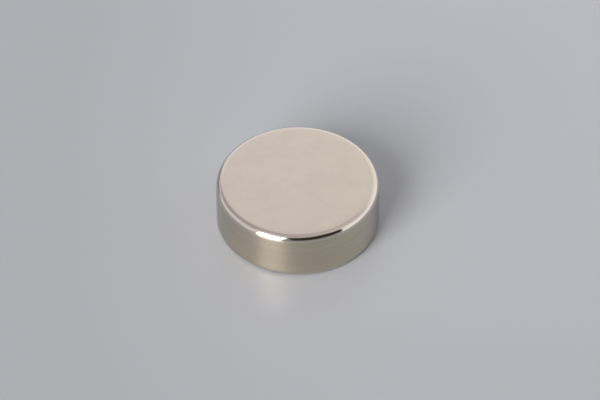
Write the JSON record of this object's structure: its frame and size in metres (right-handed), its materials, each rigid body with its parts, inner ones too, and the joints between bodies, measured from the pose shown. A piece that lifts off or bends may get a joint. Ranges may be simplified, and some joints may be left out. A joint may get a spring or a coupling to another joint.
{
  "type": "disc magnet",
  "caption": "Flat round permanent magnet, magnetised through its thickness, with rounded rims and satin nickel plating. It holds to steel or sits in a pocket.",
  "frame": {"origin": "centre of the lower pole face, which the disc rests on", "axes": "+Z along the magnetic axis, from the lower pole face to the upper one. The disc is round, so X and Y are any two directions square to it."},
  "size_m": [0.0096, 0.0096, 0.0032],
  "materials": {
    "nickel_plating": "satin"
  },
  "bodies": {
    "root": {"disc": "nickel_plating"}
  },
  "joints": []
}
